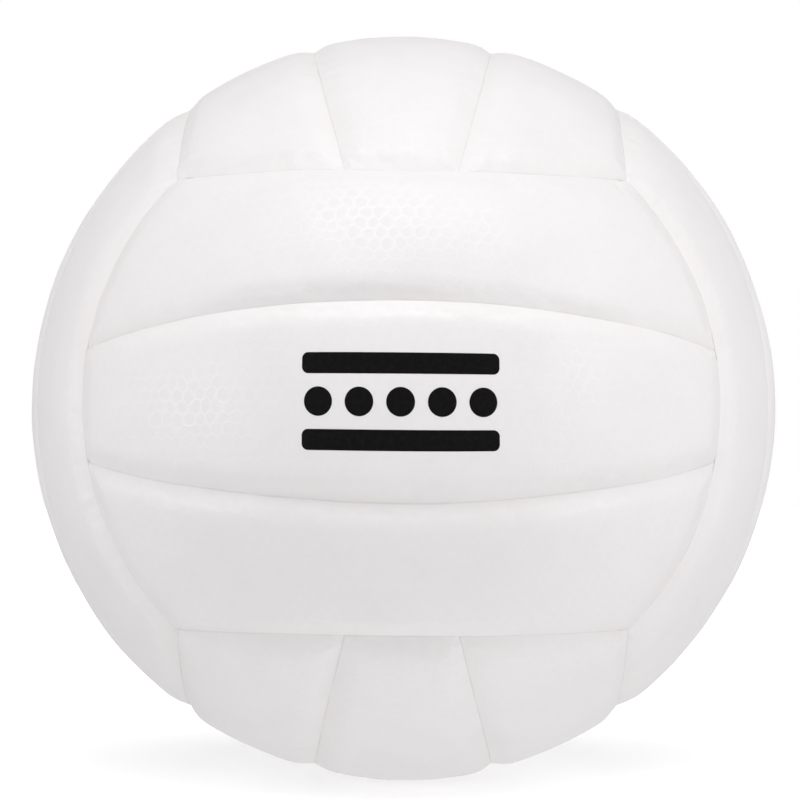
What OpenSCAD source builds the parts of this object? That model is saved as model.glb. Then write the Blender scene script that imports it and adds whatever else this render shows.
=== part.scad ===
// Indoor volleyball with eighteen glued cover panels.
// Six faces of three strips each lie on a thin rubber carcass, over a wound thread layer and
// an inner bladder. A needle valve stands in the middle strip of the back face.
// The origin is the centre of the ball, +Z is up and the front face looks along -Y.
// Every seam is a circle on the ball. Two faces meet in a flat that is square to the axis of
// one of them, and the seams between the strips of a face lie in planes through the centre.

/* [Ball] */
// Outside diameter across the crowns of opposite panels
ball_d = 210; // [190:1:230]

/* [Cover panels] */
// Thickness of the skin of a panel
skin_t = 1.1; // [0.9:0.1:1.4]
// Thickness of the foam under the skin in the middle of a panel
foam_t = 1.7; // [1.5:0.1:2.4]
// Depth of the groove where two panels meet
groove_depth = 1.8; // [1.2:0.1:2.2]
// Width over which the edge of a panel rolls down into the groove
roll_w = 7.2; // [5.5:0.1:9]
// Half of the angle that the middle strip of a face spans, in degrees
middle_half_angle = 14; // [12:0.1:17]

/* [Inner layers] */
// Thickness of the rubber carcass under the panels
carcass_t = 0.6; // [0.4:0.1:1.2]
// Thickness of the wound thread layer
winding_t = 0.5; // [0.4:0.1:1.2]
// Wall of the inner bladder
bladder_t = 0.6; // [0.4:0.1:1.2]

/* [Valve] */
// Outside diameter of the valve neck, which fills the hole in the cover
neck_d = 9; // [8.4:0.1:12]
// How far the neck and the plug lie below the crown of the cover
neck_recess = 0.3; // [0.2:0.1:0.8]
// Radius that rounds the rim of the neck
neck_lip_r = 0.5; // [0.3:0.1:0.7]
// Diameter of the flange that is bonded inside the bladder
flange_d = 30; // [20:1:40]
// Thickness of the flange
flange_t = 1.2; // [0.8:0.1:2]
// Outside diameter of the barrel below the flange
barrel_d = 8.4; // [8:0.1:12]
// Length of the barrel inside the bladder
barrel_l = 12; // [8:0.5:18]
// Diameter of the stem of the valve plug
plug_d = 5.2; // [4.4:0.1:5.6]
// Diameter of the head of the plug
plug_head_d = 6.6; // [6.2:0.1:7]
// Thickness of the head of the plug
plug_head_t = 1.2; // [0.8:0.1:2]
// Diameter of the bead that holds the plug in the barrel
bead_d = 7.2; // [6.4:0.1:8]
// Thickness of rubber left at the blind end of the needle channel
plug_tip_t = 2.4; // [1.5:0.1:3.5]
// Diameter of the needle channel
needle_d = 2; // [1.6:0.1:2.4]
// Diameter of the dish that leads the needle in
dish_d = 3.8; // [3:0.1:5]
// Depth of the dish
dish_depth = 0.8; // [0.5:0.1:1.2]

/* [Hidden] */
$fn = 120;

// Radial clearance round the neck in the layers that it passes through
neck_fit = 0.1;
// Radial clearance round the plug in the boss
plug_fit = 0.05;
// Film of cement between the flange and the bladder
cement_t = 0.15;
// Height of the roll circle above the ball, so that the two cross and don't only touch
roll_lift = 0.05;
// Overrun of cutting shapes past the surfaces that they cut
over = 3;

ball_r = ball_d / 2;
carcass_r = ball_r - skin_t - foam_t;
winding_r = carcass_r - carcass_t;
bladder_r = winding_r - winding_t;
cavity_r = bladder_r - bladder_t;

// Angle between the axis of a face and the circle where the face ends
face_angle = acos(1 / sqrt(3));

// The roll is an arc in the plane square to a seam. It passes through the groove's floor at
// the seam and peaks just above the ball, roll_w away.
roll_angle = roll_w / ball_r * 180 / PI;
roll_peak = ball_r + roll_lift;
groove_r = ball_r - groove_depth;
// Height of the flats where the faces meet. Three flats cross at the groove's floor.
face_h = groove_r / sqrt(3);
roll_centre = (roll_peak ^ 2 - groove_r ^ 2)
  / (2 * (roll_peak - groove_r * cos(roll_angle)));
roll_r = roll_peak - roll_centre;

neck_top = ball_r - neck_recess;
flange_r = cavity_r - cement_t;
barrel_end = cavity_r - barrel_l;
bead_r = bead_d / 2;
plug_end = barrel_end - bead_r;
channel_top = neck_top - dish_depth;
channel_end = plug_end + plug_tip_t;

// Each face: its name, its turn about the diagonal of the axes, its turn about the vertical
// before that, and the names of its strips
FACES = [
  ["front", 0, 0, ["upper", "middle", "lower"]],
  ["back", 0, 180, ["upper", "middle", "lower"]],
  ["left", 240, 0, ["back", "middle", "front"]],
  ["right", 240, 180, ["back", "middle", "front"]],
  ["top", 120, 180, ["right", "middle", "left"]],
  ["bottom", 120, 0, ["right", "middle", "left"]]
];

function piece_name(layer, face, strip) = str(layer, "_", face[0], "_", strip);

// Point at a distance from the centre, at an angle from the upright axis of a profile
function ray(distance, angle) = [distance * sin(angle), distance * cos(angle)];

// Profile of what the roll takes off one side of a seam. The seam lies at the angle seam, and
// side is +1 for a panel beyond it or -1 for a panel before it.
module roll_waste(seam, side, depth) {
  difference() {
    polygon([
      ray(carcass_r - over, seam + side * roll_angle),
      ray(ball_r + over, seam + side * roll_angle),
      ray(ball_r + over, seam - side * roll_angle),
      ray(carcass_r - over, seam - side * roll_angle)
    ]);
    translate(ray(roll_centre, seam + side * roll_angle)) circle(r = roll_r - depth);
  }
}

// Round slab of one face, from the radius inner to the surface that lies depth under the
// cover, with its rim rolled down into the seam
module face_slab(inner, depth) {
  rotate([90, 0, 0])
    rotate_extrude()
      difference() {
        intersection() {
          difference() {
            circle(r = ball_r - depth);
            circle(r = inner);
          }
          translate([0, face_h]) square(ball_d);
        }
        roll_waste(face_angle, -1, depth);
      }
}

// Everything above the seam that runs along a strip, with the roll taken off its edge
module above_strip_seam(depth) {
  rotate([-middle_half_angle, 0, 0])
    rotate_extrude()
      difference() {
        square(2 * ball_d);
        roll_waste(90, -1, depth);
      }
}

// Everything between the seam at the upper end of a face and the level of the axis
module below_face_seam(depth) {
  rotate_extrude()
    difference() {
      square([2 * ball_d, face_h]);
      roll_waste(face_angle, 1, depth);
    }
}

// Middle strip of the front face
module middle_pillow(inner, depth) {
  intersection() {
    face_slab(inner, depth);
    rotate([2 * middle_half_angle, 0, 0]) above_strip_seam(depth);
    mirror([0, 0, 1]) rotate([2 * middle_half_angle, 0, 0]) above_strip_seam(depth);
  }
}

// Upper strip of the front face
module outer_pillow(inner, depth) {
  intersection() {
    face_slab(inner, depth);
    above_strip_seam(depth);
    below_face_seam(depth);
  }
}

// One of the three strips of the front face
module pillow(place, inner, depth) {
  if (place == 0) outer_pillow(inner, depth);
  if (place == 1) middle_pillow(inner, depth);
  if (place == 2) mirror([0, 0, 1]) outer_pillow(inner, depth);
}

// Turns a strip from the front face to another face
module on_face(face) {
  rotate(a = face[1], v = [1, 1, 1]) rotate([0, 0, face[2]]) children();
}

// Stands a profile of the valve on the axis through the middle of the back face
module about_valve_axis() {
  rotate([-90, 0, 0]) rotate_extrude() children();
}

// Hole for the valve neck through the layers around the bladder
module neck_hole() {
  about_valve_axis() translate([0, barrel_end]) square([neck_d / 2 + neck_fit, ball_r]);
}

module cover_skin(face, place) {
  color("white")
    difference() {
      on_face(face)
        difference() {
          pillow(place, carcass_r, 0);
          pillow(place, carcass_r - over, skin_t);
        }
      if (face[0] == "back" && place == 1) neck_hole();
    }
}

module foam_backing(face, place) {
  color("ivory")
    difference() {
      on_face(face) pillow(place, carcass_r, skin_t);
      if (face[0] == "back" && place == 1) neck_hole();
    }
}

// Closed layer between two radii, open only at the valve
module ball_layer(outer, inner) {
  difference() {
    sphere(r = outer);
    sphere(r = inner);
    neck_hole();
  }
}

module carcass() {
  color("dimgray") ball_layer(carcass_r, winding_r);
}

module thread_winding() {
  color("wheat") ball_layer(winding_r, bladder_r);
}

module bladder() {
  color([0.12, 0.12, 0.13]) ball_layer(bladder_r, cavity_r);
}

// Neck, flange and barrel in one moulding, bonded inside the bladder
module valve_boss() {
  neck_r = neck_d / 2;
  color([0.16, 0.16, 0.17])
    about_valve_axis()
      difference() {
        union() {
          translate([0, flange_r - flange_t]) {
            square([neck_r, neck_top - neck_lip_r - flange_r + flange_t]);
            square([neck_r - neck_lip_r, neck_top - flange_r + flange_t]);
          }
          translate([neck_r - neck_lip_r, neck_top - neck_lip_r]) circle(r = neck_lip_r);
          translate([0, barrel_end]) square([barrel_d / 2, barrel_l]);
          intersection() {
            difference() {
              circle(r = flange_r);
              circle(r = flange_r - flange_t);
            }
            square([flange_d / 2, ball_r]);
          }
        }
        translate([0, barrel_end - over]) square([plug_d / 2 + plug_fit, ball_d]);
        translate([0, neck_top - plug_head_t]) square([plug_head_d / 2 + plug_fit, over]);
      }
}

// Rubber plug with a head in the neck, a bead behind the barrel and a blind needle channel
module valve_plug() {
  color([0.2, 0.2, 0.21])
    about_valve_axis()
      difference() {
        union() {
          translate([0, barrel_end]) square([plug_d / 2, neck_top - barrel_end]);
          translate([0, neck_top - plug_head_t]) square([plug_head_d / 2, plug_head_t]);
          intersection() {
            translate([0, barrel_end]) circle(r = bead_r);
            translate([0, plug_end]) square([bead_r, bead_r]);
          }
        }
        translate([0, channel_end]) square([needle_d / 2, ball_r]);
        polygon([
          [0, channel_top],
          [needle_d / 2, channel_top],
          [dish_d / 2, neck_top],
          [dish_d / 2, neck_top + over],
          [0, neck_top + over]
        ]);
      }
}

for (face = FACES, place = [0, 1, 2]) {
  cover_name = piece_name("cover", face, face[3][place]);
  foam_name = piece_name("foam", face, face[3][place]);
  cover_skin(face, place);
  foam_backing(face, place);
}
carcass();
thread_winding();
bladder();
valve_boss();
valve_plug();
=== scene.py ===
import math

import bpy
import numpy as np
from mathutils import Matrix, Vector


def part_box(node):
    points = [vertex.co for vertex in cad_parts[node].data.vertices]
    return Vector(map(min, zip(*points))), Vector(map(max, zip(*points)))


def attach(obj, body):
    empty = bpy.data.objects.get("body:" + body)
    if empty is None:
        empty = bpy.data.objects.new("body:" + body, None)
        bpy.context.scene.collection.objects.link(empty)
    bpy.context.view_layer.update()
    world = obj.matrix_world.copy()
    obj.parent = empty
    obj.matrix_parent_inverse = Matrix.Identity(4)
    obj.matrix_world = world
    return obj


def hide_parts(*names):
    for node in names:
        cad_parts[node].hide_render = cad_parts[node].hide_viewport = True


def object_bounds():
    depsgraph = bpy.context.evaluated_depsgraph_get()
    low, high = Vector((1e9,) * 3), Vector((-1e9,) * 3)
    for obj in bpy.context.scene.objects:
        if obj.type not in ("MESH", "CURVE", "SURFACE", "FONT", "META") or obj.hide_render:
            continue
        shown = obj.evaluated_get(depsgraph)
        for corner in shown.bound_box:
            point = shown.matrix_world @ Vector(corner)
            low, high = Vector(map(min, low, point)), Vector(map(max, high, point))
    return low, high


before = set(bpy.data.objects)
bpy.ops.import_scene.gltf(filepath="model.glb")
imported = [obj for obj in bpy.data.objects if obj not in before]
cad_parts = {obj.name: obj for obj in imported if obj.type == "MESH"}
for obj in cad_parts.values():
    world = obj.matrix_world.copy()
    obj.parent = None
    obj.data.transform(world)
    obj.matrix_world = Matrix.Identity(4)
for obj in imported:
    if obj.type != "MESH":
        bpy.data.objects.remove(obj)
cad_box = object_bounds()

# The ball stands with its centre at the origin, its front face towards -Y and the valve at +Y.
# Lengths are in metres, as in the frame, and names that end in _MM are in millimetres.

MM = 0.001
BALL_R = cad_box[1].z
SKIN_T = BALL_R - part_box("foam_top_middle")[1].z
CARCASS_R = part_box("carcass")[1].z
WINDING_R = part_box("thread_winding")[1].z
BLADDER_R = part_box("bladder")[1].z
NECK_HOLE_R = 4.6 * MM

# The layout of the cover. Each face is a cap round its own axis, and the seams between its
# strips lie in planes through the centre of the ball.
FACE_EDGE = 1 / math.sqrt(3)
FACE_ANGLE = math.acos(FACE_EDGE)
MIDDLE_HALF_ANGLE = math.radians(14)
CORNER_ACROSS = math.radians(45)

# Each face: its name, its turn about the diagonal of the axes, its turn about the vertical
# before that, and the names of its strips
FACES = [
    ("front", 0, 0, ("upper", "middle", "lower")),
    ("back", 0, 180, ("upper", "middle", "lower")),
    ("left", 240, 0, ("back", "middle", "front")),
    ("right", 240, 180, ("back", "middle", "front")),
    ("top", 120, 180, ("right", "middle", "left")),
    ("bottom", 120, 0, ("right", "middle", "left")),
]
UPPER, MIDDLE, LOWER = 0, 1, 2

# The edge of a panel falls into the seam as a straight bevel that eases into the crown, inside
# a long faint sag. The bevel is wider at the end of a strip than along its sides.
GROOVE_MM = 1.72
SIDE_BEVEL_MM, END_BEVEL_MM, BEVEL_EASE_MM = 5.2, 6.6, 0.8
SAG_MM, SAG_DEPTH_MM = 16.0, 0.08
# The lower it is, the rounder the bevels of two seams run together in a corner
CORNER_BLEND = 5
# Broad and finer swells of a panel, and how far from its seams they reach their full height
SWELL_MM, SWELL_HEIGHT_MM = 34, 0.11
DIMPLE_MM, DIMPLE_HEIGHT_MM = 13, 0.035
FULL_SWELL_MM = 9
# Puckers beside the seams, and folds across them, which come in patches
PUCKER_MM, PUCKER_HEIGHT_MM = 5, 0.06
FOLD_MM, FOLD_HEIGHT_MM, FOLD_PATCH_MM = 3.4, 0.09, 30
# The creases round a corner, the pit where three panels meet, and the lip of the valve hole
CREASE_MM, CREASE_HEIGHT_MM, CREASE_REACH_MM = 2.6, 0.09, 4.5
PIT_MM, PIT_DEPTH_MM = 0.8, 0.15
LIP_MM, LIP_DEPTH_MM = 0.7, 0.35
# How far the crown lies under the solid's, so that its swells stay within the ball
CROWN_DROP_MM = 0.12
# Seeds of the ripples. The last one and the two after it are for the three axes of a shift.
GROOVE_SEED, SWELL_SEED, DIMPLE_SEED, PUCKER_SEED, CREASE_SEED, PATCH_SEED, FOLD_SEED = range(11, 18)
SHIFT_SEED = 21

# The pressed grain: its cells, how round they are, and the height of the lines between them
GRAIN_PITCH = 3.5 * MM
CELL_ROUNDING = 0.16
LINE_HEIGHT = 0.014 * MM
# The pores of the leather: their width, their depth, and their width as a share of their length
PORE_SIZE, PORE_DEPTH, PORE_SLIMNESS = 0.9 * MM, 0.01 * MM, 0.3

# Air between the pieces of the cover, so that no two surfaces lie in the same place
SEAM_GAP = 0.01 * MM
SKIN_OVER_CARCASS = 0.02 * MM
FOAM_OVER_CARCASS = 0.04 * MM
FOAM_UNDER_SKIN = 0.03 * MM
FOAM_FROM_SEAM = 0.6 * MM
FOAM_LEAST_T = 0.08 * MM
WINDING_UNDER_CARCASS = 0.02 * MM
WINDING_OVER_BLADDER = 0.04 * MM

# Cells along and across the mesh of a skin, of the skin round the valve, and of the foam
SKIN_CELLS = 168, 52
VALVE_SKIN_CELLS = 208, 76
FOAM_CELLS = 64, 24
# How much more densely they lie at the seams, along and across a skin and in foam, and at the valve
SKIN_CROWDING = 3.0, 5.0
FOAM_CROWDING = 1.0
VALVE_CROWDING = 3.2
# How far that reaches, as a share of a strip
SEAM_CROWD_REACH, VALVE_CROWD_REACH = 0.05, 0.09


def about_axis(axis, degrees):
    """Rotation matrix for a turn about an axis."""
    x, y, z = np.array(axis) / np.linalg.norm(axis)
    c, s = math.cos(math.radians(degrees)), math.sin(math.radians(degrees))
    cross = np.array([[0, -z, y], [z, 0, -x], [-y, x, 0]])
    return c * np.eye(3) + s * cross + (1 - c) * np.outer((x, y, z), (x, y, z))


def face_turn(face):
    """Rotation matrix from the front face to another face."""
    return about_axis((1, 1, 1), face[1]) @ about_axis((0, 0, 1), face[2])


def ripple(points_mm, seed, wavelength_mm, waves=40):
    """Smooth random field of about unit size over points, from plane waves of seeded directions."""
    rng = np.random.default_rng(seed)
    ways = rng.normal(size=(waves, 3))
    ways /= np.linalg.norm(ways, axis=1)[:, None]
    pitch = 2 * math.pi / wavelength_mm * rng.uniform(0.7, 1.4, waves)
    phase = rng.uniform(0, 2 * math.pi, waves)
    return np.cos(points_mm @ (ways * pitch[:, None]).T + phase).sum(1) * math.sqrt(2 / waves)


def bell(distance, reach, peak=0.0):
    """Share that is 1 where a distance is at its peak and fades on both sides of it."""
    return np.exp(-(((distance - peak) / reach) ** 2))


def spread(count, edge_share, middle_share=0.0):
    """Steps from 0 to 1 that crowd at both ends and, if asked, in the middle."""
    t = np.linspace(0, 1, 4001)
    ends = np.exp(-t / SEAM_CROWD_REACH) + np.exp(-(1 - t) / SEAM_CROWD_REACH)
    density = 1 + edge_share * ends + middle_share * bell(t, VALVE_CROWD_REACH, peak=0.5)
    total = np.concatenate([[0], np.cumsum((density[1:] + density[:-1]) / 2)])
    return np.interp(np.linspace(0, total[-1], count + 1), total, t)


def strip_angles(place, along, across):
    """Grids of the angles along and across a strip of the front face."""
    p, q = along[:, None], across[None, :]
    if place == MIDDLE:
        v = MIDDLE_HALF_ANGLE * (2 * q - 1) + 0 * p
        u = np.arccos(FACE_EDGE / np.cos(v)) * (2 * p - 1)
        return u, v
    near_u = math.acos(FACE_EDGE / math.cos(MIDDLE_HALF_ANGLE))
    far_u = math.acos(FACE_EDGE / math.cos(CORNER_ACROSS))
    near = near_u * (2 * p - 1), MIDDLE_HALF_ANGLE + 0 * p
    far_along = far_u * (2 * p - 1)
    far = far_along, np.arcsin(FACE_EDGE / np.cos(far_along))
    side_v = MIDDLE_HALF_ANGLE + (CORNER_ACROSS - MIDDLE_HALF_ANGLE) * q
    side = np.arccos(FACE_EDGE / np.cos(side_v)), side_v
    grids = []
    for axis in (0, 1):
        sign = -1 if axis == 0 else 1
        start, end = sign * side[axis], side[axis]
        corners = (
            (1 - p) * (1 - q) * near[axis][0, 0]
            + p * (1 - q) * near[axis][-1, 0]
            + (1 - p) * q * far[axis][0, 0]
            + p * q * far[axis][-1, 0]
        )
        grids.append((1 - q) * near[axis] + q * far[axis] + (1 - p) * start + p * end - corners)
    if place == LOWER:
        return grids[0][::-1], -grids[1][::-1]
    return grids[0], grids[1]


def directions(u, v):
    """Unit vectors of the front face for angles along and across it."""
    return np.stack([np.sin(u), -np.cos(u) * np.cos(v), np.cos(u) * np.sin(v)], -1).reshape(-1, 3)


def seam_distances_mm(place, ways):
    """Distance from each direction to the panel's four seams, along the ball."""
    end = FACE_ANGLE - np.arccos(np.clip(-ways[:, 1], -1, 1))
    v = np.arctan2(ways[:, 2], -ways[:, 1])
    cos_u = np.hypot(ways[:, 1], ways[:, 2])
    if place == MIDDLE:
        sides = [np.arcsin(cos_u * np.sin(MIDDLE_HALF_ANGLE - s * v)) for s in (1, -1)]
    else:
        s = 1 if place == UPPER else -1
        near = np.arcsin(cos_u * np.sin(s * v - MIDDLE_HALF_ANGLE))
        far = np.arccos(np.clip(s * ways[:, 2], -1, 1)) - FACE_ANGLE
        sides = [near, far]
    return [np.maximum(x, 0) * BALL_R / MM for x in (end, *sides)]


def seam_feet(place, ways):
    """The nearest direction to each direction on each seam, in the order of seam_distances_mm."""
    x, y, z = ways.T
    around = np.hypot(x, z)
    ring = math.sin(FACE_ANGLE) / np.maximum(around, 1e-9)
    feet = [np.stack([x * ring, np.full_like(y, -FACE_EDGE), z * ring], -1)]
    for side in {UPPER: (1,), MIDDLE: (1, -1), LOWER: (-1,)}[place]:
        across = np.array([0, math.sin(MIDDLE_HALF_ANGLE) * side, math.cos(MIDDLE_HALF_ANGLE)])
        feet.append(ways - (ways @ across)[:, None] * across)
    if place != MIDDLE:
        ring = math.sin(FACE_ANGLE) / np.hypot(x, y)
        feet.append(np.stack([x * ring, y * ring, np.copysign(FACE_EDGE, z)], -1))
    return [foot / np.linalg.norm(foot, axis=1)[:, None] for foot in feet]


def fall_mm(distance, bevel_mm):
    """How far the surface lies below the crown of a panel, at a distance from one seam."""
    slope = GROOVE_MM / bevel_mm
    bevel = slope * BEVEL_EASE_MM * np.log1p(np.exp((bevel_mm - distance) / BEVEL_EASE_MM))
    sag = SAG_DEPTH_MM * np.clip(1 - distance / SAG_MM, 0, 1) ** 2
    return bevel + sag


# Where the grooves of a ball made by hand are deeper or shallower: a place on the ball, the share of
# the depth that is added there, and how far that reaches. Lengths are in mm.
HAND_PRESSED = [
    ((-8, -101, 27), 0.2, 30),
    ((62, 0, 85), -0.25, 16),
    ((-62, 0, 85), -0.2, 16),
]


def groove_share(at_ball_mm):
    """Depth of the grooves at points on the ball, as a share of their even depth."""
    share = 1 + 0.06 * ripple(at_ball_mm, GROOVE_SEED, 38)
    for centre, more, reach in HAND_PRESSED:
        near = np.exp(-((at_ball_mm - np.array(centre)) ** 2).sum(1) / (2 * reach**2))
        share += more * near
    return share


def groove_mm(seams, at_ball_mm):
    """How far a panel falls off towards its seams, for the distances to them."""
    bevels = (END_BEVEL_MM, SIDE_BEVEL_MM, SIDE_BEVEL_MM)
    falls = [fall_mm(distance, bevel) for distance, bevel in zip(seams, bevels)]
    depth = sum(fall**CORNER_BLEND for fall in falls) ** (1 / CORNER_BLEND)
    return depth * groove_share(at_ball_mm)


def swell_mm(at_ball_mm, nearest):
    """Broad swells of a panel, which die out at its nearest seam."""
    swell = SWELL_HEIGHT_MM * ripple(at_ball_mm, SWELL_SEED, SWELL_MM)
    swell += DIMPLE_HEIGHT_MM * ripple(at_ball_mm, DIMPLE_SEED, DIMPLE_MM)
    return swell * np.clip(nearest / FULL_SWELL_MM, 0, 1)


def pucker_mm(at_ball_mm, nearest, seams, feet_mm):
    """Puckers a little way in from the nearest seam, and patches of folds that run across seams."""
    pucker = PUCKER_HEIGHT_MM * ripple(at_ball_mm, PUCKER_SEED, PUCKER_MM) * bell(nearest, 2.2, peak=2.5)
    patches = np.clip(0.5 + 0.7 * ripple(at_ball_mm, PATCH_SEED, FOLD_PATCH_MM), 0, 1.6)
    for distance, foot_mm in zip(seams, feet_mm):
        folds = ripple(foot_mm, FOLD_SEED, FOLD_MM)
        pucker += FOLD_HEIGHT_MM * patches * folds * bell(distance, 2.4, peak=3)
    return pucker


def corner_mm(at_ball_mm, corner):
    """Creases round a corner, and the pit in it, for the distance from the corner."""
    crease = CREASE_HEIGHT_MM * ripple(at_ball_mm, CREASE_SEED, CREASE_MM)
    return crease * bell(corner, CREASE_REACH_MM) - PIT_DEPTH_MM * bell(corner, PIT_MM)


def cover_radius(place, ways, turn, valve=False):
    """Radius of the outer surface of a panel in directions on the front face, for a face's turn."""
    seams = seam_distances_mm(place, ways)
    nearest, second = np.sort(np.stack(seams), axis=0)[:2]
    at_ball_mm = ways @ turn.T * BALL_R / MM
    feet_mm = [foot @ turn.T * BALL_R / MM for foot in seam_feet(place, ways)]
    height_mm = -groove_mm(seams, at_ball_mm) - CROWN_DROP_MM
    height_mm += swell_mm(at_ball_mm, nearest)
    height_mm += pucker_mm(at_ball_mm, nearest, seams, feet_mm)
    height_mm += corner_mm(at_ball_mm, np.hypot(nearest, second))
    if valve:
        rim_mm = (np.hypot(ways[:, 0], ways[:, 2]) * BALL_R - NECK_HOLE_R) / MM
        height_mm -= LIP_DEPTH_MM * np.exp(-np.clip(rim_mm, 0, None) / LIP_MM)
    return BALL_R + height_mm * MM


# Where the seams of a ball laid by hand stand off the even layout: a place on the ball, how far
# the seam lies away from its even place there, and how far that reaches. Lengths are in mm.
HAND_LAID = [
    ((-88, -52, 25), (-0.5, 0.9, 0.0), 30),
    ((-88, -52, -10), (-0.5, 0.9, 0.0), 30),
    ((-45, -90, 29), (0.0, 0.2, 0.8), 26),
    ((5, -101, 27), (0.0, 0.2, 0.7), 26),
    ((-30, -82, 60), (0.0, 0.5, 0.8), 24),
    ((5, -100, -27), (0.0, 0.1, -0.4), 22),
]


def hand_laid(ways):
    """Directions on the ball, moved as the real seams are."""
    points = ways * BALL_R / MM
    moved = points.copy()
    for centre, shift, reach in HAND_LAID:
        near = np.exp(-((points - np.array(centre)) ** 2).sum(1) / (2 * reach**2))
        moved += near[:, None] * np.array(shift)
    for axis in range(3):
        moved[:, axis] += 0.12 * ripple(points, SHIFT_SEED + axis, 90)
    return moved / np.linalg.norm(moved, axis=1)[:, None]


def even_ways(piece, turn):
    """Directions of a piece's points on the front face, back in the even layout."""
    count = len(piece.data.vertices)
    points = np.empty(3 * count)
    piece.data.vertices.foreach_get("co", points)
    ways = points.reshape(-1, 3)
    ways /= np.linalg.norm(ways, axis=1)[:, None]
    even = 2 * ways - hand_laid(ways)
    return even / np.linalg.norm(even, axis=1)[:, None] @ turn


def closed_grid(outer, inner, columns, rows):
    """Points and faces of a closed solid between two grids of points."""
    points = np.concatenate([outer, inner])
    index = np.arange((columns + 1) * (rows + 1)).reshape(columns + 1, rows + 1)
    a, b = index[:-1, :-1].ravel(), index[1:, :-1].ravel()
    c, d = index[1:, 1:].ravel(), index[:-1, 1:].ravel()
    shift = index.size
    top = np.stack([a, b, c, d], 1)
    bottom = np.stack([a, d, c, b], 1) + shift
    rim = np.concatenate([index[:, 0], index[-1, 1:], index[-2::-1, -1], index[0, -2:0:-1]])
    after = np.roll(rim, -1)
    wall = np.stack([rim, rim + shift, after + shift, after], 1)
    return points, np.concatenate([top, bottom, wall])


def mesh_object(name, points, faces, crisp_degrees=50):
    """Object from arrays of points and quads, smooth but for edges sharper than crisp_degrees."""
    mesh = bpy.data.meshes.new(name)
    mesh.from_pydata(points.tolist(), [], faces.tolist())
    mesh.update()
    mesh.shade_smooth()
    mesh.set_sharp_from_angle(angle=math.radians(crisp_degrees))
    piece = bpy.data.objects.new(name, mesh)
    bpy.context.scene.collection.objects.link(piece)
    return piece


def keep_attribute(piece, name, values):
    """Stores a vector for each point of a piece, for its material to read."""
    field = piece.data.attributes.new(name, "FLOAT_VECTOR", "POINT")
    field.data.foreach_set("vector", values.astype(np.float32).ravel())


def cut_neck_hole(piece):
    """Opens the round hole for the valve neck."""
    bpy.ops.mesh.primitive_cylinder_add(
        vertices=96,
        radius=NECK_HOLE_R,
        depth=BALL_R / 2,
        location=(0, BALL_R, 0),
        rotation=(math.pi / 2, 0, 0),
    )
    cutter = bpy.context.active_object
    cut = piece.modifiers.new("neck_hole", "BOOLEAN")
    cut.operation = "DIFFERENCE"
    cut.solver = "EXACT"
    cut.object = cutter
    bpy.context.view_layer.objects.active = piece
    bpy.ops.object.modifier_apply(modifier=cut.name)
    bpy.data.objects.remove(cutter)


# Materials


class Tree:
    """Short way to lay out the nodes of a material."""

    def __init__(self, name):
        self.material = bpy.data.materials.new(name)
        self.material.use_nodes = True
        self.nodes = self.material.node_tree.nodes
        self.links = self.material.node_tree.links
        self.shader = self.nodes["Principled BSDF"]

    def add(self, kind, settings=None, **inputs):
        """Adds a node. Settings are its own, and inputs are numbers or sockets by input name."""
        node = self.nodes.new("ShaderNode" + kind)
        for key, value in (settings or {}).items():
            setattr(node, key, value)
        for key, value in inputs.items():
            self.put(node, key.replace("_", " "), value)
        return node

    def put(self, node, key, value):
        """Sets an input of a node, or links a socket to it."""
        slot = node.inputs[int(key)] if key.isdigit() else node.inputs[key]
        if isinstance(value, bpy.types.NodeSocket):
            self.links.new(value, slot)
        else:
            slot.default_value = value

    def math(self, operation, a, b=None, c=None):
        """Result of a sum on numbers or sockets."""
        node = self.nodes.new("ShaderNodeMath")
        node.operation = operation
        for place, value in enumerate((a, b, c)):
            if value is not None:
                self.put(node, str(place), value)
        return node.outputs[0]

    def vector(self, operation, a, b=None, c=None, scale=None):
        """Result of a sum on vectors. A dot product and a length are numbers."""
        node = self.nodes.new("ShaderNodeVectorMath")
        node.operation = operation
        for place, value in enumerate((a, b, c)):
            if value is not None:
                self.put(node, str(place), value)
        if scale is not None:
            node.inputs["Scale"].default_value = scale
        return node.outputs["Value" if operation in ("DOT_PRODUCT", "LENGTH") else "Vector"]

    def span(self, value, low, high, to_low, to_high, smooth=False):
        """A value taken from one range to another, and held at its ends."""
        node = self.nodes.new("ShaderNodeMapRange")
        node.interpolation_type = "SMOOTHSTEP" if smooth else "LINEAR"
        for key, number in zip(("Value", "From Min", "From Max", "To Min", "To Max"),
                               (value, low, high, to_low, to_high)):
            self.put(node, key, number)
        return node.outputs["Result"]

    def blend(self, share, a, b):
        """Colour between a and b."""
        node = self.nodes.new("ShaderNodeMix")
        node.data_type = "RGBA"
        for place, value in ((0, share), (6, a), (7, b)):
            self.put(node, str(place), value)
        return node.outputs[2]

    def noise(self, where, size, detail=3.0, roughness=0.55):
        """Noise with features about size metres across."""
        node = self.add("TexNoise", Vector=where, Scale=1 / size, Detail=detail, Roughness=roughness)
        return node.outputs["Fac"]

    def bump(self, height, distance, under=None):
        """Normal from a height of 0 to 1 that stands for a distance in metres."""
        node = self.add("Bump", Height=height, Distance=distance)
        if under is not None:
            self.links.new(under, node.inputs["Normal"])
        return node.outputs["Normal"]


def object_place(tree):
    """Position on the object, in metres."""
    return tree.add("TexCoord").outputs["Object"]


def grey(level):
    """Colour without a tint."""
    return (level, level, level, 1)


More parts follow.
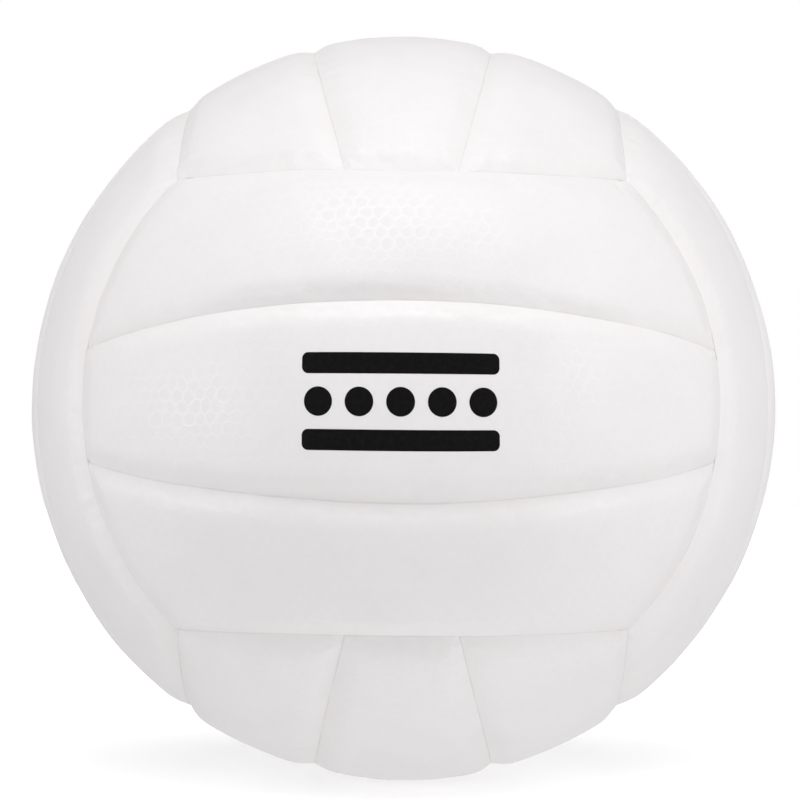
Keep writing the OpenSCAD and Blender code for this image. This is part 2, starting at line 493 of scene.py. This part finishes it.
def honeycomb(tree, where):
    """Distance from the edges of a honeycomb of unit pitch: 0 on an edge and 0.5 in a centre."""
    pitch = (1.0, math.sqrt(3), 1.0)
    half = (0.5, math.sqrt(3) / 2, 0.5)
    nearest = []
    for shift in ((0.0, 0.0, 0.0), half):
        moved = tree.vector("SUBTRACT", where, shift)
        share = tree.vector("FRACTION", tree.vector("DIVIDE", moved, pitch))
        from_centre = tree.vector("MULTIPLY_ADD", share, pitch, tuple(-x for x in half))
        flat = tree.vector("ABSOLUTE", tree.vector("MULTIPLY", from_centre, (1.0, 1.0, 0.0)))
        parts = tree.add("SeparateXYZ", Vector=flat)
        slant = tree.vector("DOT_PRODUCT", flat, (0.5, math.sqrt(3) / 2, 0.0))
        nearest.append(tree.math("SMOOTH_MAX", parts.outputs["X"], slant, CELL_ROUNDING))
    return tree.math("SUBTRACT", 0.5, tree.math("MINIMUM", *nearest))


def cobble_grain(tree, seam):
    """Relief of the pressed grain: cells about 3.5 mm across between fine raised lines.

    Seam is the distance from the nearest seam, where the grain is stretched flat. Gives the
    place on the strip, how much a point lies on a line, and the normal.
    """
    where = tree.add("Attribute", {"attribute_name": "grain"}).outputs["Vector"]
    pitches = tree.vector("SCALE", where, scale=1 / GRAIN_PITCH)
    wander = tree.add("TexNoise", Vector=pitches, Scale=0.55, Detail=1.5, Roughness=0.6)
    drift = tree.vector("MULTIPLY_ADD", wander.outputs["Color"], (1.0, 1.0, 0.0), pitches)
    to_line = honeycomb(tree, drift)
    pressed = tree.span(tree.noise(where, 0.028, 2.0), 0.38, 0.55, 0.7, 1.0)
    open_grain = tree.math("MULTIPLY", pressed, tree.span(seam, 0.0008, 0.003, 0.0, 1.0, smooth=True))
    ridge = tree.math("MULTIPLY", open_grain, tree.span(to_line, 0.01, 0.13, 1.0, 0.0, smooth=True))
    line = tree.math("MULTIPLY", open_grain, tree.span(to_line, 0.06, 0.19, 1.0, 0.0, smooth=True))
    stretched = tree.vector("MULTIPLY", where, (PORE_SLIMNESS, 1.0, 1.0))
    pores = tree.bump(tree.noise(stretched, PORE_SIZE, 2.5), PORE_DEPTH)
    normal = tree.bump(ridge, LINE_HEIGHT, under=pores)
    return where, line, normal


def leather(name, colour, cloud_colour, seam_shade_colour, yellow):
    """White synthetic leather, with the pressed grain and painted shade along the seams.

    The raised lines of the grain are polished, so they glint where they mirror a lamp.
    """
    tree = Tree(name)
    seam = tree.add("Attribute", {"attribute_name": "seam"}).outputs["Fac"]
    where, line, normal = cobble_grain(tree, seam)
    cloud = tree.noise(where, 0.022, 6.0, 0.68)
    clouded = tree.blend(tree.span(cloud, 0.35, 0.7, 0.0, 0.3), colour, cloud_colour)
    # Painted shade: the colour darkens towards the seam colour within half a millimetre of each seam, in
    # patches.
    seam_shade_patches = tree.noise(where, 0.018, 4.0, 0.6)
    near_seam = tree.span(seam, 0.0, 0.00045, 1.0, 0.0, smooth=True)
    painted_seam_shade = tree.math("MULTIPLY", near_seam, tree.span(seam_shade_patches, 0.4, 0.65, 0.0, 1.0))
    by_seam = tree.span(seam, 0.0, 0.006, 1.0, 0.0, smooth=True)
    patches = tree.noise(tree.vector("ADD", where, (3.1, 1.7, 0.0)), 0.03, 2.0)
    handled = tree.math("MULTIPLY", by_seam, tree.span(patches, 0.48, 0.7, 0.0, 0.3))
    yellowed = tree.blend(handled, clouded, yellow)
    tree.put(tree.shader, "Base Color", tree.blend(painted_seam_shade, yellowed, seam_shade_colour))
    facing = tree.add("LayerWeight", Blend=0.5).outputs["Facing"]
    edge_on = tree.span(facing, 0.3, 0.75, 0.0, 1.0, smooth=True)
    satin = tree.math("MULTIPLY_ADD", cloud, 0.06, 0.49)
    tree.put(tree.shader, "Roughness", tree.math("MULTIPLY_ADD", edge_on, 0.38, satin))
    polish = tree.span(edge_on, 0.0, 1.0, 0.6, 0.0)
    tree.put(tree.shader, "Coat Weight", tree.math("MULTIPLY", line, polish))
    for key in ("Normal", "Coat Normal"):
        tree.put(tree.shader, key, normal)
    tree.shader.inputs["Specular IOR Level"].default_value = 0.3
    tree.shader.inputs["Coat Roughness"].default_value = 0.28
    return tree.material


def ink(name):
    """Black print, laid thinly enough for the grain of the leather to come through."""
    tree = Tree(name)
    where, line, normal = cobble_grain(tree, 0.02)
    wear = tree.noise(where, 0.0012, 3.0)
    worn = tree.span(wear, 0.45, 0.75, 0.0, 1.0)
    tree.put(tree.shader, "Base Color", tree.blend(worn, grey(0.002), grey(0.005)))
    tree.put(tree.shader, "Roughness", tree.span(line, 0.0, 1.0, 0.6, 0.45))
    tree.put(tree.shader, "Normal", normal)
    tree.shader.inputs["Specular IOR Level"].default_value = 0.06
    return tree.material


def foam_stuff(name):
    """Pale closed-cell foam."""
    tree = Tree(name)
    where = object_place(tree)
    cells = tree.add("TexVoronoi", Vector=where, Scale=1 / 0.0006)
    tint = tree.blend(tree.noise(where, 0.01), (0.86, 0.84, 0.76, 1), (0.80, 0.77, 0.68, 1))
    tree.put(tree.shader, "Base Color", tint)
    tree.put(tree.shader, "Roughness", tree.span(cells.outputs["Distance"], 0.0, 0.6, 0.95, 0.8))
    tree.put(tree.shader, "Normal", tree.bump(cells.outputs["Distance"], 0.06 * MM))
    return tree.material


def rubber(name, colour, dusty_colour, roughness, grain_m, dust_share):
    """Moulded rubber with a fine grain and some dust of talc."""
    tree = Tree(name)
    where = object_place(tree)
    fine = tree.noise(where, grain_m, 4.0)
    dust = tree.noise(where, 12 * grain_m, 5.0, 0.65)
    settled = tree.span(dust, 0.45, 0.75, 0.0, dust_share)
    tree.put(tree.shader, "Base Color", tree.blend(settled, colour, dusty_colour))
    tree.put(tree.shader, "Roughness", tree.math("MULTIPLY_ADD", fine, 0.18, roughness))
    tree.put(tree.shader, "Normal", tree.bump(fine, 0.05 * MM))
    return tree.material


def wound_thread(name):
    """Nylon thread wound in all directions and set in latex."""
    tree = Tree(name)
    where = object_place(tree)
    height = None
    for turn in ((0.3, 0.5, 0.0), (1.2, 0.2, 0.9), (0.4, 1.3, 1.7), (1.9, 0.8, 0.4)):
        laid = tree.add("Mapping", Vector=where, Rotation=turn)
        strands = tree.add(
            "TexWave", {"bands_direction": "Z"}, Vector=laid.outputs[0], Scale=160.0, Distortion=0.6
        )
        level = strands.outputs["Fac"]
        height = level if height is None else tree.math("MAXIMUM", height, level)
    tint = tree.blend(tree.span(height, 0.5, 1.0, 0.0, 1.0), (0.42, 0.37, 0.27, 1), (0.82, 0.79, 0.70, 1))
    tree.put(tree.shader, "Base Color", tint)
    tree.put(tree.shader, "Roughness", tree.span(height, 0.5, 1.0, 0.7, 0.42))
    tree.put(tree.shader, "Normal", tree.bump(height, 0.12 * MM))
    return tree.material


LEATHER = leather(
    "white_leather",
    colour=(0.835, 0.815, 0.820, 1),
    cloud_colour=(0.76, 0.735, 0.73, 1),
    # The seam colour is painted shade in the seams.
    seam_shade_colour=(0.73, 0.705, 0.695, 1),
    yellow=(0.82, 0.80, 0.75, 1),
)
FOAM = foam_stuff("pale_foam")
INK = ink("black_ink")
THREAD = wound_thread("wound_thread")


def dress(piece, material, slot, *nodes):
    """Gives a piece its material and puts it in place of its nodes. Its slot is not used."""
    piece.data.materials.append(material)
    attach(piece, "root")
    if nodes:
        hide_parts(*nodes)


def draw_in(grid_points, columns, rows, gap):
    """Moves the rim of a grid of points towards its inside, to leave a fine gap at the seam."""
    grid = grid_points.reshape(columns + 1, rows + 1, 3)
    across = grid.swapaxes(0, 1)
    for lines, edge, inner in ((grid, 0, 1), (grid, -1, -2), (across, 0, 1), (across, -1, -2)):
        step = lines[inner] - lines[edge]
        length = np.linalg.norm(step, axis=-1, keepdims=True)
        lines[edge] += step * np.minimum(gap / length, 0.5)
    return grid.reshape(-1, 3)


def strip_centre(place):
    """Angle across the face at which a strip has its middle line."""
    outer = (MIDDLE_HALF_ANGLE + math.asin(FACE_EDGE)) / 2
    return {UPPER: outer, MIDDLE: 0.0, LOWER: -outer}[place]


def grain_place(place, ways, seed):
    """Flat coordinates of points on a strip, for the pressed grain, in metres."""
    u = np.arcsin(np.clip(ways[:, 0], -1, 1))
    v = np.arctan2(ways[:, 2], -ways[:, 1])
    flat = np.stack([u, np.cos(u) * (v - strip_centre(place)), 0 * u], -1) * BALL_R
    return flat + np.array([0.37, 0.53, 0.0]) * seed


def strip_shell(name, ways, turn, outer_r, inner_r, cells, gap):
    """Closed solid between two radii, over a grid of directions on the front face."""
    laid = hand_laid(ways @ turn.T)
    outer = draw_in(laid * outer_r[:, None], *cells, gap)
    inner = draw_in(laid * inner_r[:, None], *cells, gap)
    return mesh_object(name, *closed_grid(outer, inner, *cells))


def make_skin(name, place, turn, number, valve):
    """Skin of one strip, with the fields that its material reads."""
    cells = VALVE_SKIN_CELLS if valve else SKIN_CELLS
    near_valve = VALVE_CROWDING if valve else 0.0
    along, across = [spread(*row, near_valve) for row in zip(cells, SKIN_CROWDING)]
    ways = directions(*strip_angles(place, along, across))
    outer_r = cover_radius(place, ways, turn, valve)
    inner_r = np.maximum(outer_r - SKIN_T, CARCASS_R + SKIN_OVER_CARCASS)
    skin = strip_shell("skin_" + name, ways, turn, outer_r, inner_r, cells, SEAM_GAP)
    if valve:
        cut_neck_hole(skin)
    ways = even_ways(skin, turn)
    keep_attribute(skin, "grain", grain_place(place, ways, number))
    nearest = np.min(np.stack(seam_distances_mm(place, ways)), 0) * MM
    keep_attribute(skin, "seam", np.stack([nearest] * 3, -1))
    dress(skin, LEATHER, "cover", "cover_" + name)


def make_foam(name, place, turn, valve):
    """Foam pad under the skin of one strip."""
    along, across = [spread(count, FOAM_CROWDING) for count in FOAM_CELLS]
    ways = directions(*strip_angles(place, along, across))
    inner_r = np.full(len(ways), CARCASS_R + FOAM_OVER_CARCASS)
    outer_r = cover_radius(place, ways, turn) - SKIN_T - FOAM_UNDER_SKIN
    outer_r = np.maximum(outer_r, inner_r + FOAM_LEAST_T)
    pad = strip_shell("pad_" + name, ways, turn, outer_r, inner_r, FOAM_CELLS, FOAM_FROM_SEAM)
    if valve:
        cut_neck_hole(pad)
    dress(pad, FOAM, "foam", "foam_" + name)


def make_strip(face, place, number):
    """One strip of a face. The valve stands in the middle strip of the back face."""
    name = f"{face[0]}_{face[3][place]}"
    valve = face[0] == "back" and place == MIDDLE
    make_skin(name, place, face_turn(face), number, valve)
    make_foam(name, place, face_turn(face), valve)


for face_number, face in enumerate(FACES):
    for place in (UPPER, MIDDLE, LOWER):
        make_strip(face, place, 3 * face_number + place)

# The print: a plain mark of two bars with five round dots between them

BAR_L, BAR_H, BAR_CORNER = 50 * MM, 5.2 * MM, 1.6 * MM
BAR_RISE = 9.4 * MM
DOT_D, DOT_PITCH = 7.2 * MM, 10.4 * MM
DOTS = 5
INK_T = 0.03 * MM


def rounded_plate(centre, length, height, corner, columns, rows):
    """Flat grid over a rectangle with round corners: places along and across, in metres."""
    turn = np.linspace(0, math.pi, columns + 1)
    s = -np.cos(turn) * length / 2
    past = np.clip(np.abs(s) - (length / 2 - corner), 0, corner)
    half = height / 2 - corner + np.sqrt(np.maximum(corner**2 - past**2, (0.02 * corner) ** 2))
    t = half[:, None] * np.linspace(-1, 1, rows + 1)[None, :]
    return np.stack([centre[0] + s[:, None] + 0 * t, centre[1] + t], -1).reshape(-1, 2)


def print_on_front():
    """The black mark on the middle strip of the front face."""
    shapes = [((0, rise), BAR_L, BAR_H, BAR_CORNER, 96, 10) for rise in (-BAR_RISE, BAR_RISE)]
    first = -(DOTS - 1) / 2 * DOT_PITCH
    for dot in range(DOTS):
        shapes.append(((first + dot * DOT_PITCH, 0), DOT_D, DOT_D, DOT_D / 2, 40, 24))
    all_points, all_faces, all_flat = [], [], []
    count = 0
    for shape in shapes:
        flat = rounded_plate(*shape)
        u = flat[:, 0] / BALL_R
        ways = directions(u, flat[:, 1] / BALL_R / np.cos(u))
        r = cover_radius(MIDDLE, ways, np.eye(3))
        laid = hand_laid(ways)
        points, faces = closed_grid(laid * (r + INK_T)[:, None], laid * (r - INK_T)[:, None], *shape[4:])
        all_points.append(points)
        all_faces.append(faces + count)
        grain = grain_place(MIDDLE, ways, 1)
        all_flat += [grain, grain]
        count += len(points)
    mark = mesh_object("size_mark", np.concatenate(all_points), np.concatenate(all_faces))
    keep_attribute(mark, "grain", np.concatenate(all_flat))
    dress(mark, INK, None)


print_on_front()


def winding_shell():
    """The wound layer between the carcass and the bladder."""
    bpy.ops.mesh.primitive_ico_sphere_add(subdivisions=6, radius=WINDING_R - WINDING_UNDER_CARCASS)
    shell = bpy.context.active_object
    shell.name = "winding"
    shell.data.shade_smooth()
    wall = shell.modifiers.new("wall", "SOLIDIFY")
    wall.thickness = WINDING_R - WINDING_UNDER_CARCASS - BLADDER_R - WINDING_OVER_BLADDER
    wall.offset = -1
    bpy.ops.object.modifier_apply(modifier=wall.name)
    cut_neck_hole(shell)
    dress(shell, THREAD, "winding", "thread_winding")


winding_shell()


def finish_node(name, material):
    """Gives a CAD node that stays its own material."""
    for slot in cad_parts[name].material_slots:
        slot.link = "OBJECT"
        slot.material = material


# Each rubber piece: its node, the name of its material, its colour, the colour of the dust on it,
# its roughness, the size of its grain in metres and the share of dust
RUBBERS = [
    ("carcass", "carcass_rubber", (0.03, 0.03, 0.032, 1), (0.2, 0.19, 0.17, 1), 0.6, 0.0009, 0.5),
    ("bladder", "bladder_rubber", (0.02, 0.02, 0.022, 1), grey(0.25), 0.42, 0.0012, 0.35),
    ("valve_boss", "boss_rubber", (0.03, 0.03, 0.031, 1), grey(0.12), 0.5, 0.0005, 0.4),
    ("valve_plug", "plug_rubber", (0.05, 0.05, 0.052, 1), grey(0.14), 0.42, 0.0004, 0.3),
]
for node, *look in RUBBERS:
    finish_node(node, rubber(*look))

# The floor, the light and the camera

WHITE = grey(1.0)
FLOOR_SIDE = 8.0
# The glow of the floor, as a share of white, under the ball, and how far off it is full. The glow is
# weaker near the ball, which paints shade round its foot.
PAINTED_SHADE_GLOW = 0.25
FULL_GLOW_REACH = 0.7


def seen_directly(nodes, links):
    """Socket that is 1 for the camera, for reflections and through glass, and 0 for soft light."""
    path = nodes.new("ShaderNodeLightPath")
    highest = path.outputs["Is Camera Ray"]
    for ray in ("Is Glossy Ray", "Is Transmission Ray"):
        either = nodes.new("ShaderNodeMath")
        either.operation = "MAXIMUM"
        links.new(highest, either.inputs[0])
        links.new(path.outputs[ray], either.inputs[1])
        highest = either.outputs[0]
    return highest


def make_floor():
    """Pale floor with the shadow of the ball on it, lit from within so that its far end is white, and
    glowing less near the ball, which paints shade round it.
    """
    bpy.ops.mesh.primitive_plane_add(size=FLOOR_SIDE, location=(0, 0, -BALL_R))
    floor = bpy.context.active_object
    floor.name = "floor"
    tree = Tree("pale_floor")
    tree.put(tree.shader, "Base Color", grey(0.86))
    tree.put(tree.shader, "Roughness", 0.8)
    reach = tree.vector("LENGTH", object_place(tree))
    # Painted shade: the glow is weakest under the ball and grows to its full strength away from it.
    level = tree.span(reach, 0.0, FULL_GLOW_REACH, PAINTED_SHADE_GLOW, 1.0)
    glow = tree.add("Emission", Color=WHITE, Strength=level)
    both, mix = tree.add("AddShader"), tree.add("MixShader")
    lit = tree.shader.outputs[0]
    for place, value in enumerate((lit, glow.outputs[0])):
        tree.put(both, str(place), value)
    for place, value in enumerate((seen_directly(tree.nodes, tree.links), lit, both.outputs[0])):
        tree.put(mix, str(place), value)
    tree.put(tree.nodes["Material Output"], "Surface", mix.outputs[0])
    floor.data.materials.append(tree.material)
    # As on a lit table, light comes from below as well, so the floor doesn't hold it off the ball.
    floor.visible_diffuse = False
    floor.visible_shadow = False


def make_world(fill):
    """Even soft light all round, with a white background for the camera and in reflections."""
    world = bpy.data.worlds.new("studio")
    bpy.context.scene.world = world
    world.use_nodes = True
    nodes, links = world.node_tree.nodes, world.node_tree.links
    soft = nodes["Background"]
    soft.inputs["Color"].default_value = WHITE
    soft.inputs["Strength"].default_value = fill
    clear = nodes.new("ShaderNodeBackground")
    clear.inputs["Color"].default_value = WHITE
    clear.inputs["Strength"].default_value = 1.0
    mix = nodes.new("ShaderNodeMixShader")
    links.new(seen_directly(nodes, links), mix.inputs[0])
    links.new(soft.outputs[0], mix.inputs[1])
    links.new(clear.outputs[0], mix.inputs[2])
    links.new(mix.outputs[0], nodes["World Output"].inputs["Surface"])


# Each lamp: its name, its angles round the ball and above its middle, its width and height, its
# power in watts, and whether the ball mirrors it
LAMPS = [
    ("top_light", 2, 58, 1.4, 0.6, 7.6, True),
    ("left_light", -62, 2, 0.97, 0.34, 2.6, True),
    ("right_light", 58, 8, 0.47, 0.64, 2.6, True),
    ("front_light", 0, 12, 0.7, 0.5, 2.75, False),
    ("high_left_light", -75, 36, 0.7, 0.5, 1.85, False),
    ("high_right_light", 75, 36, 0.7, 0.5, 1.75, False),
    ("low_left_light", -75, -35, 0.7, 0.5, 1.3, False),
    ("low_right_light", 75, -35, 0.7, 0.5, 2.8, False),
    ("left_table_light", -75, -60, 0.7, 0.5, 3.5, False),
    ("right_table_light", 75, -60, 0.7, 0.5, 3.3, False),
    ("back_light", 180, 10, 0.7, 0.5, 5.0, False),
]
LAMP_DISTANCE = 1.2


def outward(azimuth, elevation):
    """Unit vector from the ball at angles round it, from its front, and above its middle."""
    a, e = math.radians(azimuth), math.radians(elevation)
    return Vector((math.sin(a) * math.cos(e), -math.cos(a) * math.cos(e), math.sin(e)))


def soft_box(name, azimuth, elevation, width, height, power, mirrored):
    """Soft light at angles round the ball, turned to its centre.

    A lamp that isn't mirrored gives no highlights, only light.
    """
    back = outward(azimuth, elevation)
    light = bpy.data.lights.new(name, "AREA")
    light.shape = "RECTANGLE"
    light.size, light.size_y = width, height
    light.energy = power
    lamp = bpy.data.objects.new(name, light)
    lamp.location = back * LAMP_DISTANCE
    lamp.rotation_mode = "QUATERNION"
    lamp.rotation_quaternion = back.to_track_quat("Z", "Y")
    lamp.visible_glossy = mirrored
    bpy.context.scene.collection.objects.link(lamp)


LENS_MM, SENSOR_MM = 136.2, 36.0
CAMERA_DISTANCE = 8.2 * BALL_R
CAMERA_AZIMUTH, CAMERA_ELEVATION = 0.34, -0.78
PICTURE_PX = 800
BALL_CENTRE_PX = (403.5, 408.3)


def make_camera():
    """Camera at the photograph's angle, aimed so that the ball lies where it does there."""
    back = outward(CAMERA_AZIMUTH, CAMERA_ELEVATION)
    right = outward(CAMERA_AZIMUTH + 90, 0)
    up = back.cross(right)
    pixel = CAMERA_DISTANCE * SENSOR_MM / LENS_MM / PICTURE_PX
    aim = (PICTURE_PX / 2 - BALL_CENTRE_PX[0]) * pixel * right
    aim += (BALL_CENTRE_PX[1] - PICTURE_PX / 2) * pixel * up
    data = bpy.data.cameras.new("camera")
    data.lens, data.sensor_width = LENS_MM, SENSOR_MM
    data.clip_start, data.clip_end = 0.01, 50
    camera = bpy.data.objects.new("camera", data)
    camera.location = back * CAMERA_DISTANCE
    camera.rotation_mode = "QUATERNION"
    camera.rotation_quaternion = (camera.location - aim).to_track_quat("Z", "Y")
    bpy.context.scene.collection.objects.link(camera)
    bpy.context.scene.camera = camera


make_floor()
make_world(fill=0.25)
for lamp in LAMPS:
    soft_box(*lamp)
make_camera()
bpy.context.scene.view_settings.view_transform = "Standard"
